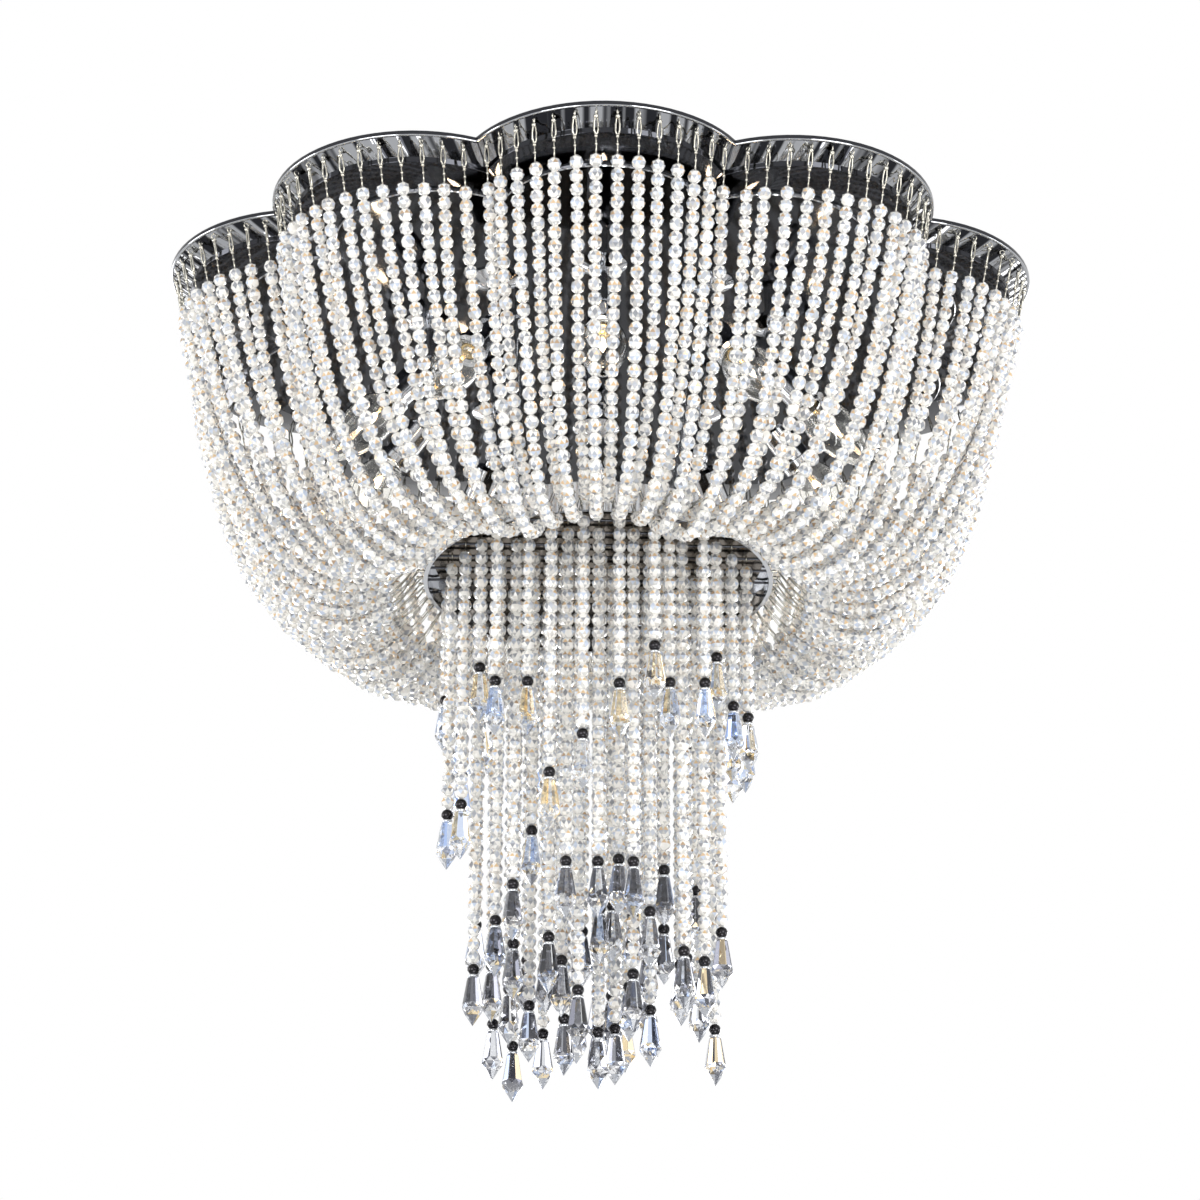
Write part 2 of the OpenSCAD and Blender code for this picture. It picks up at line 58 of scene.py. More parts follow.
# Tail: rows of strands, and the cap and drop at the end of each
ROWS_SIDE, ROW_PITCH, TAIL_PITCH, TAIL_R = 5, 21.0, 24.0, 118.0
OUTER_ZONE, OUTER_BEADS, OUTER_MORE = 95.0, 9, 11
MIDDLE_ZONE, MIDDLE_BEADS, MIDDLE_MORE = 60.0, 22, 13
INNER_BEADS, INNER_MORE = 27, 9
EYE_NECK = 6.0
CAP_D, CAP_TOTAL, DROP_LEN, DROP_W, DROP_BELLY = 9.0, 9.5, 36.0, 15.5, 24.0
# Lamps: one to a lobe, leaning outwards
LAMP_AT, LAMP_DROP, LAMP_LEAN = 132.0, 56.0, np.radians(40.0)
HOLDER_END, GLASS_LEN = 45.0, 74.5


def turn_z(points, angle):
    """Points turned about the Z axis by angle."""
    c, s = np.cos(angle), np.sin(angle)
    x, y, z = points[..., 0], points[..., 1], points[..., 2]
    return np.stack([c * x - s * y, s * x + c * y, z], axis=-1)


def hashed(n, seed):
    """n fixed numbers from 0 to 1: the fractional part of a large sine, different for each seed."""
    step, apart, spread = 12.9898, 78.233, 43758.5453
    v = np.sin(np.arange(n) * step + seed * apart + 0.5) * spread
    return v - np.floor(v)


def grid_quads(rows, columns, wrap_columns=False, wrap_rows=False):
    """Faces of a rows by columns grid of points, joined up at the end where it wraps."""
    r = np.arange(rows if wrap_rows else rows - 1)[:, None]
    c = np.arange(columns if wrap_columns else columns - 1)[None, :]
    r2, c2 = (r + 1) % rows, (c + 1) % columns
    quads = np.stack([r * columns + c, r * columns + c2, r2 * columns + c2, r2 * columns + c], axis=-1)
    return quads.reshape(-1, 4)


def build(
    name,
    points,
    faces,
    materials,
    body,
    replaces=(),
    smooth=False,
    index=None,
    painted_light_pick=None,
    sharp=None,
    edge_at=None,
):
    """One piece from arrays: points in mm, faces as a list of index arrays of equal width each.

    The points are scaled to metres. Index gives each face its finish, a number on each face picks the
    crystal's painted sparks and painted reflections, and edge_at is a place on each point for a pattern that
    follows an edge.
    """
    points = np.asarray(points, dtype=float).reshape(-1, 3) * 0.001
    mesh = bpy.data.meshes.new(name)
    loops = np.concatenate([f.reshape(-1) for f in faces]).astype(np.int32)
    sizes = np.concatenate([np.full(len(f), f.shape[1]) for f in faces]).astype(np.int32)
    mesh.vertices.add(len(points))
    mesh.vertices.foreach_set("co", points.astype(np.float32).ravel())
    mesh.loops.add(len(loops))
    mesh.loops.foreach_set("vertex_index", loops)
    mesh.polygons.add(len(sizes))
    starts = np.concatenate([[0], np.cumsum(sizes)[:-1]]).astype(np.int32)
    mesh.polygons.foreach_set("loop_start", starts)
    mesh.polygons.foreach_set("loop_total", sizes)
    mesh.polygons.foreach_set("use_smooth", np.full(len(sizes), smooth))
    for m in materials:
        mesh.materials.append(m)
    if index is not None:
        mesh.polygons.foreach_set("material_index", np.asarray(index, dtype=np.int32))
    mesh.update(calc_edges=True)
    if painted_light_pick is not None:
        layer = mesh.attributes.new("painted_light_pick", "FLOAT", "FACE")
        layer.data.foreach_set("value", np.asarray(painted_light_pick, dtype=np.float32))
    if edge_at is not None:
        layer = mesh.attributes.new("edge_at", "FLOAT_VECTOR", "POINT")
        layer.data.foreach_set("vector", edge_at.astype(np.float32).ravel())
    if smooth and sharp:
        mesh.set_sharp_from_angle(angle=np.radians(sharp))
    mesh.validate()
    piece = bpy.data.objects.new(name, mesh)
    bpy.context.scene.collection.objects.link(piece)
    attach(piece, body)
    if replaces:
        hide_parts(*replaces)
    return piece


# Finishes
MM_PER_M = 1000.0


def linear(hex_colour):
    """An sRGB hex colour as linear red, green, blue and alpha."""
    v = np.array([int(hex_colour[i : i + 2], 16) for i in (1, 3, 5)]) / 255
    v = np.where(v <= 0.04045, v / 12.92, ((v + 0.055) / 1.055) ** 2.4)
    return (*v, 1.0)


def add(tree, kind, settings=None, links=None):
    """Adds one node: settings are sockets by name or properties, links are sockets with their source."""
    node = tree.nodes.new(kind)
    for key, value in (settings or {}).items():
        if key in node.inputs:
            node.inputs[key].default_value = value
        else:
            setattr(node, key, value)
    for key, source in (links or {}).items():
        tree.links.new(source, node.inputs[key])
    return node


def finish_start(name):
    """A new empty finish and its tree, with only the output node in it."""
    material = bpy.data.materials.new(name)
    material.use_nodes = True
    tree = material.node_tree
    tree.nodes.clear()
    return material, tree, tree.nodes.new("ShaderNodeOutputMaterial")


def polished_metal(name, colour, roughness, grain_mm, wear=0.02, ripple_mm=0.0, painted_streak_colour=None):
    """Plated or polished metal: a mirror colour with faint polishing marks of grain_mm and small dents.

    With ripple_mm, the pressed sheet has ripples that wide along its edge, which run straight down its slope,
    and on their crests the colour turns paler, to the streak colour given: painted reflections of the white
    room.
    """
    material, tree, out = finish_start(name)
    where = add(tree, "ShaderNodeTexCoord")
    grain = {"Scale": MM_PER_M / grain_mm, "Detail": 3.0}
    marks = add(tree, "ShaderNodeTexNoise", grain, {"Vector": where.outputs["Object"]})
    spread = {"To Min": roughness * 0.7, "To Max": roughness * 1.5}
    rough = add(tree, "ShaderNodeMapRange", spread, {"Value": marks.outputs["Fac"]})
    dents = {"Strength": wear, "Distance": 0.4 / MM_PER_M}
    bump = add(tree, "ShaderNodeBump", dents, {"Height": marks.outputs["Fac"]})
    if ripple_mm:
        edge = add(tree, "ShaderNodeAttribute", {"attribute_name": "edge_at"})
        width = {"Scale": 1.0 / ripple_mm, "Detail": 0.0}
        waves = add(tree, "ShaderNodeTexNoise", width, {"Vector": edge.outputs["Vector"]})
        bump = add(
            tree,
            "ShaderNodeBump",
            {"Strength": 1.0, "Distance": ripple_mm * 0.4 / MM_PER_M},
            {"Height": waves.outputs["Fac"], "Normal": bump.outputs["Normal"]},
        )
    skin = add(
        tree,
        "ShaderNodeBsdfPrincipled",
        {"Base Color": linear(colour), "Metallic": 1.0},
        {"Roughness": rough.outputs["Result"], "Normal": bump.outputs["Normal"]},
    )
    # The paler crests are painted reflections of the white room, in upright streaks
    if painted_streak_colour:
        plate = add(tree, "ShaderNodeValToRGB", None, {"Fac": waves.outputs["Fac"]})
        hollow, crest = plate.color_ramp.elements
        hollow.position, crest.position = 0.44, 0.56
        hollow.color, crest.color = linear(colour), linear(painted_streak_colour)
        tree.links.new(plate.outputs["Color"], skin.inputs["Base Color"])
    tree.links.new(skin.outputs["BSDF"], out.inputs["Surface"])
    return material


RIM_FROM, RIM_FULL = 0.5, 0.72
DEEP_BOUNCES, DEEP_LIGHT = 4.5, 0.95


def cut_crystal(name, stops, ior, sheen, rim=0.0):
    """Machine-cut lead crystal: each facet takes its painted tint and its clearness from a number on its
    face.

    A stop is a number, a colour and the share of light that goes straight through. The rest is the stop's
    colour,
    lit as an opaque surface: painted sparks in the white stops, where cut faces behind would throw light
    back, and painted reflections and glints in the grey, blue and amber stops. Rim is the share of light that
    a facet seen nearly edge on throws back, which draws a bright line round each bead. Light that has passed
    DEEP_BOUNCES faces comes out as a painted glow, given off by the glass as the mean light of its inside.
    """
    material, tree, out = finish_start(name)
    spark = add(tree, "ShaderNodeAttribute", {"attribute_name": "painted_light_pick"})
    ramp = add(tree, "ShaderNodeValToRGB", None, {"Fac": spark.outputs["Fac"]})
    ramp.color_ramp.interpolation = "CONSTANT"
    elements = ramp.color_ramp.elements
    elements.remove(elements[1])
    for n, (at, colour, clear) in enumerate(stops):
        stop = elements.new(at) if n else elements[0]
        stop.color = (*linear(colour)[:3], clear)
    skin = add(
        tree,
        "ShaderNodeBsdfPrincipled",
        {"Roughness": 0.0, "IOR": ior, "Sheen Weight": sheen, "Sheen Roughness": 0.25},
        {"Base Color": ramp.outputs["Color"], "Transmission Weight": ramp.outputs["Alpha"]},
    )
    seen = skin
    if rim:
        aside = add(tree, "ShaderNodeLayerWeight", {"Blend": 0.5})
        flat = add(
            tree,
            "ShaderNodeMapRange",
            {"From Min": RIM_FROM, "From Max": RIM_FULL, "To Max": rim},
            {"Value": aside.outputs["Facing"]},
        )
        flash = add(tree, "ShaderNodeBsdfGlossy", {"Color": linear("#ffffff"), "Roughness": 0.12})
        ways = {0: flat.outputs["Result"], 1: skin.outputs[0], 2: flash.outputs[0]}
        seen = add(tree, "ShaderNodeMixShader", None, ways)
    # Painted glow: past DEEP_BOUNCES faces the glass gives off light of its own
    path = add(tree, "ShaderNodeLightPath")
    deep = add(tree, "ShaderNodeMath", {"operation": "GREATER_THAN"}, {0: path.outputs["Ray Depth"]})
    deep.inputs[1].default_value = DEEP_BOUNCES
    painted_deep_glow = add(tree, "ShaderNodeEmission", {"Color": linear("#eef0f3"), "Strength": DEEP_LIGHT})
    depths = {0: deep.outputs[0], 1: seen.outputs[0], 2: painted_deep_glow.outputs[0]}
    mix = add(tree, "ShaderNodeMixShader", None, depths)
    tree.links.new(mix.outputs["Shader"], out.inputs["Surface"])
    return material


def plain_gloss(name, colour, roughness, grain_mm):
    """Moulded surface: one colour and a slightly uneven gloss, in patches of grain_mm."""
    material, tree, out = finish_start(name)
    where = add(tree, "ShaderNodeTexCoord")
    grain = {"Scale": MM_PER_M / grain_mm, "Detail": 2.0}
    marks = add(tree, "ShaderNodeTexNoise", grain, {"Vector": where.outputs["Object"]})
    spread = {"To Min": roughness * 0.8, "To Max": roughness * 1.2}
    rough = add(tree, "ShaderNodeMapRange", spread, {"Value": marks.outputs["Fac"]})
    body = {"Base Color": linear(colour), "IOR": 1.5}
    skin = add(tree, "ShaderNodeBsdfPrincipled", body, {"Roughness": rough.outputs["Result"]})
    tree.links.new(skin.outputs["BSDF"], out.inputs["Surface"])
    return material


def glowing(name, colour, strength):
    """Tungsten wire at working heat: gives off warm light."""
    material, tree, out = finish_start(name)
    body = {"Base Color": linear("#6a6a6a"), "Metallic": 1.0, "Roughness": 0.5}
    heat = {"Emission Color": linear(colour), "Emission Strength": strength}
    skin = add(tree, "ShaderNodeBsdfPrincipled", {**body, **heat})
    tree.links.new(skin.outputs["BSDF"], out.inputs["Surface"])
    return material


def clear_glass(name, colour):
    """Blown soda glass of the candle bulb, thin and clear, so it hardly shades what its wire lights."""
    material, tree, out = finish_start(name)
    skin = add(
        tree,
        "ShaderNodeBsdfPrincipled",
        {"Base Color": linear(colour), "Roughness": 0.0, "IOR": 1.5, "Transmission Weight": 1.0},
    )
    path = add(tree, "ShaderNodeLightPath")
    open_way = add(tree, "ShaderNodeBsdfTransparent", {"Color": linear("#f4f4f4")})
    mix = add(
        tree,
        "ShaderNodeMixShader",
        None,
        {0: path.outputs["Is Shadow Ray"], 1: skin.outputs["BSDF"], 2: open_way.outputs["BSDF"]},
    )
    tree.links.new(mix.outputs["Shader"], out.inputs["Surface"])
    return material


# Pressed steel mirror, dark as a painted reflection of a dark room: its ripples break the white room into
# upright streaks, and their paler crests are painted reflections too
band_mirror = polished_metal(
    "rippled_chrome_painted_reflections", "#2a2b2f", 0.04, 40.0, ripple_mm=7.0, painted_streak_colour="#a7a9ad"
)
# The same steel where the sheet is flat: an even mirror, dark as a painted reflection of a dark room, a
# little smeared by polishing
dark_mirror = polished_metal("steel_painted_dark_reflection", "#3c3d41", 0.05, 40.0)
# Paler steel on the edges: the thin bright line round every lobe is a painted highlight
edge_mirror = polished_metal("steel_edge_painted_highlight", "#b4b6ba", 0.08, 6.0)
# Mirror sheet, rolled flat: near black as a painted reflection of a dark room, with the strands doubled
# faintly in it
panel_mirror = polished_metal("mirror_sheet_painted_dark_reflection", "#2c2d31", 0.05, 60.0)
# Bronze-tinted mirror: a warm grey-brown between the hooks of the tail
tray_mirror = polished_metal("bronze_tinted_mirror", "#6f675d", 0.08, 30.0)
# Bright chrome plate on turned brass: sharp white and dark bands, soft only in its finest marks
chrome = polished_metal("bright_chrome_plate", "#c9cbcf", 0.07, 5.0)
# Smoked chrome plate on drawn rod: dark, so that the rods stay quiet behind the crystal
smoked_chrome = polished_metal("smoked_chrome_plate", "#3f4044", 0.09, 5.0)
# Tinned copper wire, drawn and bent: a warm silver, its gloss broken by the marks of bending
silver_wire = polished_metal("tinned_wire", "#b9b6ac", 0.1, 1.5)
# Polished brass, pale and a little dull from heat
gilt = polished_metal("polished_brass", "#cbb68c", 0.16, 2.0)
# Zinc-plated steel, dull grey with a fine crystal grain
zinc = polished_metal("zinc_plated_steel", "#a9adb2", 0.38, 1.2, 0.1)
# Plated cast caps: near black as a painted reflection of a dark room, with small white lights on the ball
black_cap = polished_metal("cap_plate_painted_dark_reflection", "#323133", 0.1, 3.0)
# Painted light of a cut bead: white flats as painted sparks, then pale blue, greys and amber as painted
# reflections and glints, each from its number upwards
CUTS = [
    (0.0, "#fffdf8", 0.2),
    (0.24, "#f2f1ee", 0.5),
    (0.36, "#c4cfe1", 0.1),
    (0.52, "#b8bdc6", 0.1),
    (0.66, "#95989e", 0.15),
    (0.78, "#dbbd94", 0.1),
    (0.92, "#b39878", 0.1),
]
# Painted light of a cut drop: clear flats, a painted glint of blue or amber, and flats painted dark as a
# reflection of the dark room
DROP_CUTS = [
    (0.0, "#fdfcfa", 1.0),
    (0.55, "#e4e6ea", 1.0),
    (0.7, "#b2c8f4", 1.0),
    (0.76, "#f3cb86", 1.0),
    (0.8, "#6a6b73", 1.0),
    (0.9, "#3c3d44", 1.0),
]
# Lead crystal, cut by machine and polished: painted white sparks, bright rims, a little colour of painted
# glints
crystal = cut_crystal("cut_crystal_beads", CUTS, 1.62, 0.5, 0.8)
# Cut glass with less lead: clear points, and crowns painted dark as a reflection of the dark room
drop_crystal = cut_crystal("cut_crystal_drops", DROP_CUTS, 1.56, 0.0)
# Blown soda glass: clear, with only its outline showing
bulb_glass = clear_glass("candle_bulb_glass", "#fdfcf9")
# Tungsten at working heat: a small warm white light
hot_wire = glowing("glowing_tungsten", "#ffdfb6", 90.0)
# Nylon moulding of the terminal block: white, half dull
white_plastic = plain_gloss("moulded_white_nylon", "#e8e8e3", 0.35, 3.0)


# Pan and mirror panel
def lobe_arc(r, at, inset, steps):
    """One lobe's edge: an arc of radius r less inset, cut where it meets the next lobe."""
    rr = r - inset
    half_chord = at * np.sin(HALF)
    corner = at * np.cos(HALF) + np.sqrt(rr**2 - half_chord**2)
    half_arc = np.arctan2(corner * np.sin(HALF), corner * np.cos(HALF) - at)
    t = np.linspace(-half_arc, half_arc, steps)
    return at + rr * np.cos(t), rr * np.sin(t)


def scallop_path(r, at, inset, z, steps=25):
    """The whole scalloped edge at one inset and height: ten arcs, each turned to its place."""
    x, y = lobe_arc(r, at, inset, steps)
    arc = np.stack([x[:-1], y[:-1], np.full(steps - 1, z)], axis=-1)
    return np.concatenate([turn_z(arc, -np.pi / 2 + 2 * np.pi * k / LOBES) for k in range(LOBES)])


def scallop_body(profile, r, at, steps=25):
    """A closed scalloped plate: the edge path carried down a profile of (inset, z), then to the middle.

    Each flat is four smaller copies of the last edge, and a small cap closes it.
    """
    rings = [scallop_path(r, at, inset, z, steps) for inset, z in profile]
    first, last = rings[0], rings[-1]
    flats = [0.75, 0.5, 0.25, 0.03]
    top = [np.column_stack([first[:, :2] * f, first[:, 2]]) for f in flats[::-1]]
    low = [np.column_stack([last[:, :2] * f, last[:, 2]]) for f in flats]
    points = np.array(top + rings + low)
    rows, columns = points.shape[:2]
    quads = grid_quads(rows, columns, wrap_columns=True)[:, ::-1]
    caps = [np.arange(columns)[None], ((rows - 1) * columns + np.arange(columns))[None, ::-1]]
    return points.reshape(-1, 3), quads, caps


# The band of a lobe is part of a ball through its two edges: z0 and radius from r1^2 + (d1 + z0)^2 = r2^2
# + (d2 + z0)^2, with r the radius and d the depth of each edge
outer_r, inner_r = LOBE_R - LIP_IN, LOBE_R - BAND_IN
ball_z = (outer_r**2 - inner_r**2 - BAND_DEPTH**2 + LIP_H**2) / 2 / (BAND_DEPTH - LIP_H)
ball_r = np.hypot(outer_r, LIP_H + ball_z)
band_inset = np.linspace(LIP_IN, BAND_IN, 7)
band = [(i, ball_z - np.sqrt(ball_r**2 - (LOBE_R - i) ** 2)) for i in band_inset]
# From the inside floor up the inner wall to the top, over the outer edge, down the band and the dark step
pan_profile = (
    [(17.6, -PAN_DEPTH + SHEET), (17.4, -12.2), (12.4, -8.6), (7.0, -5.0)]
    + [(4.4, -3.0), (4.4, -0.2), (4.2, 0.0), (0.5, 0.0)]
    + [(0.15, -0.15), (0.0, -0.5), (0.0, -3.0), (0.2, -3.4), (0.6, -3.6), (1.7, -3.6)]
    + band
    + [(15.15, -12.3), (15.15, -15.4), (15.35, -15.8), (15.8, -PAN_DEPTH)]
)
points, quads, caps = scallop_body(pan_profile, LOBE_R, LOBE_AT)
columns = 24 * LOBES
edge_line = scallop_path(LOBE_R, LOBE_AT, 0.0, 0.0)
row_of = np.repeat(np.arange(len(quads) // columns), columns)
# Rows of faces: FLAT_ROWS of the inside floor come first, then one row to each step of the profile
FLAT_ROWS = 4
lip_row, band_row = FLAT_ROWS + 10, FLAT_ROWS + 13
# The lip's faces take the paler edge metal, whose bright line is a painted highlight
is_lip = (row_of >= lip_row) & (row_of < band_row)
is_band = (row_of >= band_row) & (row_of < band_row + len(band))
build(
    "scalloped_pan",
    points,
    [quads] + caps,
    [dark_mirror, edge_mirror, band_mirror],
    "fixed_frame",
    ["canopy_pan"],
    smooth=True,
    index=np.concatenate([is_lip + 2 * is_band, [0, 0]]),
    sharp=28,
    edge_at=np.tile(edge_line, (len(points) // columns, 1)),
)
face = -PAN_DEPTH - PANEL_T
panel_profile = [(0.3, -PAN_DEPTH), (0.0, -PAN_DEPTH - 0.3), (0.0, face + 0.7), (0.7, face)]
points, quads, caps = scallop_body(panel_profile, PANEL_R, PANEL_AT)
row_of = np.repeat(np.arange(len(quads) // columns), columns)
# The panel's edge faces take the paler edge metal, whose bright line is a painted highlight
is_edge = (row_of >= FLAT_ROWS) & (row_of < FLAT_ROWS + 3)
build(
    "mirror_panel_sheet",
    points,
    [quads] + caps,
    [panel_mirror, edge_mirror],
    "fixed_frame",
    ["mirror_panel"],
    smooth=True,
    index=np.concatenate([is_edge.astype(int), [0, 0]]),
    sharp=28,
)


# Beads
SIDES = 8


def eight_sided(heights, radii, shift):
    """Rings of eight points, one ring to each height and radius, each turned by shift of a step."""
    heights, radii, shift = (np.array(v)[:, None] for v in (heights, radii, shift))
    a = (np.arange(SIDES)[None] + shift) * 2 * np.pi / SIDES
    return np.stack([radii * np.cos(a), radii * np.sin(a), np.repeat(heights, SIDES, 1)], axis=-1)


def cut_bead():
    """A round bead with eight sides: five rings of eight points, each ring half a step on from the last.

    Its triangles come in eight rows of eight, from the top, and its two flat ends come last.
    """
    shift = [0, 0.5, 0, 0.5, 0]
    ring = eight_sided([4.62, 2.9, 0.0, -2.9, -4.62], [1.9, 4.05, 5.0, 4.05, 1.9], shift)
    i = np.arange(SIDES)
    j = (i + 1) % SIDES
    tris = []
    for n in range(4):
        up, low = n * SIDES, (n + 1) * SIDES
        if shift[n] == 0:
            tris += [np.stack([up + i, low + i, up + j], 1), np.stack([up + j, low + i, low + j], 1)]
        else:
            tris += [np.stack([up + i, low + j, up + j], 1), np.stack([up + i, low + i, low + j], 1)]
    caps = np.array([i, 4 * SIDES + i[::-1]])
    return ring.reshape(-1, 3), np.concatenate(tris), caps


BEAD, BEAD_TRIS, BEAD_CAPS = cut_bead()
# Numbers below PALE give white flats, painted sparks. The flats over and under the girdle take painted
# reflections and glints, but for a few
PALE, COLOURED_SHARE, PAINTED_WHITE_SPARK = 0.36, 0.85, 0.1
OVER_GIRDLE, UNDER_GIRDLE = 3, 4
LEAN = 0.16


def string_beads(name, centres, along, side, spin, body, replaces):
    """Copies the bead to every centre, its axis along the wire, turned by spin and leant a few degrees.

    A point is the centre plus its own x, y and z along three directions square to each other, of which
    the last runs along the wire.
    """
    lean = LEAN * (hashed(len(centres), 7)[:, None] - 0.5)
    along = along + side * lean
    along /= np.linalg.norm(along, axis=1, keepdims=True)
    side = side - along * np.sum(side * along, axis=1, keepdims=True)
    side /= np.linalg.norm(side, axis=1, keepdims=True)
    across = np.cross(along, side)
    c, s = np.cos(spin)[:, None], np.sin(spin)[:, None]
    u = side * c + across * s
    v = across * c - side * s
    bead_x, bead_y, bead_z = BEAD[None, :, :1], BEAD[None, :, 1:2], BEAD[None, :, 2:]
    points = centres[:, None] + bead_x * u[:, None] + bead_y * v[:, None] + bead_z * along[:, None]
    step = (np.arange(len(centres)) * len(BEAD))[:, None, None]
    tris = (BEAD_TRIS[None] + step).reshape(-1, 3)
    caps = (BEAD_CAPS[None] + step).reshape(-1, SIDES)
    # Each face gets a number that picks its painted spark, reflection and glint colour from the crystal's
    # stops
    spark = hashed(len(tris), len(centres)).reshape(-1, SIDES, SIDES)
    painted_light_pick = PALE * spark
    for row, least, more in ((OVER_GIRDLE, 0.5, 0.58), (UNDER_GIRDLE, PALE, 0.49)):
        chance = spark[:, row]
        painted_light_pick[:, row] = np.where(chance < COLOURED_SHARE, least + more * chance, PAINTED_WHITE_SPARK)
    painted_light_pick = np.concatenate([painted_light_pick.ravel(), PALE * hashed(len(caps), len(centres))])
    return build(name, points, [tris, caps], [crystal], body, replaces, painted_light_pick=painted_light_pick)


def catenary(h, rise, length):
    """The hanging curve over span h: its size a and lowest place.

    It needs u with sinh(u) = ratio u, found by steps down the slope of the difference.
    """
    ratio = np.sqrt(length**2 - rise**2) / h
    u = np.sqrt(6 * (ratio - 1))
    for _ in range(30):
        u -= (np.sinh(u) - ratio * u) / (np.cosh(u) - ratio)
    a = h / (2 * u)
    return a, h / 2 - a * np.arctanh(rise / length)


def strand_line(i, marks):
    """Points of strand i of a lobe that points along X, at wire lengths marks from its foot.

    With x from the foot and the lowest place at low, the wire from low to x is a sinh((x - low) / a) long,
    which gives x for each mark, and its height over a flat line is a cosh((x - low) / a).
    """
    half_chord = LOBE_AT * np.sin(HALF)
    corner = LOBE_AT * np.cos(HALF) + np.sqrt(LOBE_R**2 - half_chord**2)
    half_arc = np.arctan2(corner * np.sin(HALF), corner * np.cos(HALF) - LOBE_AT)
    t = ((i + 0.5) / PER_LOBE * 2 - 1) * half_arc
    hook = np.array([LOBE_AT + (LOBE_R - STRAND_IN) * np.cos(t), (LOBE_R - STRAND_IN) * np.sin(t)])
    turn = ((i + 0.5) / PER_LOBE - 0.5) * 2 * HALF
    foot = (RING_R + PIN_LEN) * np.array([np.cos(turn), np.sin(turn)])
    long = i % 2 == 0
    foot_z = -ROD_DEPTH + (-STRAND_SHIFT if long else STRAND_SHIFT)
    length = LONG_WIRE if long else SHORT_WIRE
    gap = hook - foot
    h = np.hypot(*gap)
    a, low = catenary(h, -STRAND_TOP - foot_z, length)
    x = a * np.arcsinh(np.asarray(marks) / a + np.sinh(-low / a)) + low
    z = foot_z + a * (np.cosh((x - low) / a) - np.cosh(low / a))
    xy = foot + gap / h * x[:, None]
    slope = np.sinh((x - low) / a)
    along = np.column_stack([np.repeat((gap / h)[None], len(x), 0), slope])
    along /= np.linalg.norm(along, axis=1, keepdims=True)
    side = np.repeat(np.array([[-gap[1] / h, gap[0] / h, 0.0]]), len(x), 0)
    return np.column_stack([xy, z]), along, side, length


def lobe_turn(k):
    """Where lobe k points: the first to the front."""
    return -np.pi / 2 + 2 * np.pi * k / LOBES


SLOW_SWAY, QUICK_SWAY = 3.0, 1.4


def strand_sway(part, seed):
    """How far a strand strays sideways, in mm, at each part of its length: a half wave and three halves."""
    a, b = hashed(2, seed + 3) - 0.5
    return SLOW_SWAY * a * np.sin(np.pi * part) + QUICK_SWAY * b * np.sin(3 * np.pi * part)


lobe_beads = []
for i in range(PER_LOBE):
    count = LONG_BEADS if i % 2 == 0 else SHORT_BEADS
    length = LONG_WIRE if i % 2 == 0 else SHORT_WIRE
    marks = length - LINK_LEN - PITCH * (np.arange(count) + 0.5)
    at, along, side, _ = strand_line(i, marks)
    lobe_beads.append((at + side * strand_sway(marks / length, i)[:, None], along, side))
lobe_centres, lobe_along, lobe_side = (np.concatenate([b[n] for b in lobe_beads]) for n in range(3))
for k in range(LOBES):
    spin = hashed(len(lobe_centres), k + 1) * np.pi * 2
    string_beads(
        f"bead_strands_{k + 1}",
        turn_z(lobe_centres, lobe_turn(k)),
        turn_z(lobe_along, lobe_turn(k)),
        turn_z(lobe_side, lobe_turn(k)),
        spin,
        "fixed_frame",
        [f"bead_lobe_{k + 1}"],
    )


# Wire work
def tube(path, radius, sides=5, closed=False):
    """A round wire along a path: a ring of points square to the path at each of its points."""
    path = np.asarray(path, dtype=float)
    ahead = (np.roll(path, -1, 0) - np.roll(path, 1, 0)) if closed else np.gradient(path, axis=0)
    ahead /= np.linalg.norm(ahead, axis=1, keepdims=True)
    pole = np.eye(3)[np.argmin(np.ptp(path, axis=0))]
    u = np.cross(ahead, pole)
    u /= np.linalg.norm(u, axis=1, keepdims=True)
    v = np.cross(ahead, u)
    a = np.arange(sides) * 2 * np.pi / sides
    c, s = np.cos(a)[None, :, None], np.sin(a)[None, :, None]
    ring = path[:, None] + radius * (c * u[:, None] + s * v[:, None])
    faces = [grid_quads(len(path), sides, wrap_columns=True, wrap_rows=closed)]
    if not closed:
        faces.append(np.array([np.arange(sides)[::-1], (len(path) - 1) * sides + np.arange(sides)]))
    return ring.reshape(-1, 3), faces


def ball(radius, centre, around=8, up=5):
    """A small round ball: rings of points between two poles cut as small flats."""
    flat = 0.12
    b = np.linspace(flat, np.pi - flat, up)[:, None]
    a = (np.arange(around) * 2 * np.pi / around)[None]
    p = np.stack([np.sin(b) * np.cos(a), np.sin(b) * np.sin(a), np.cos(b) + 0 * a], axis=-1)
    faces = [grid_quads(up, around, wrap_columns=True)[:, ::-1]]
    faces.append(np.array([np.arange(around), (up - 1) * around + np.arange(around)[::-1]]))
    return p.reshape(-1, 3) * radius + np.asarray(centre), faces


def join(parts):
    """Several shapes as one: their points end to end and their faces, each list shifted to match."""
    points, faces, start = [], [], 0
    for p, several in parts:
        points.append(p)
        faces += [f + start for f in several]
        start += len(p)
    return np.concatenate(points), faces


def place(points, origin, right, out, up):
    """Carries a small shape drawn in X right, Y out and Z up to its place."""
    return origin + points[:, :1] * right + points[:, 1:2] * out + points[:, 2:] * up


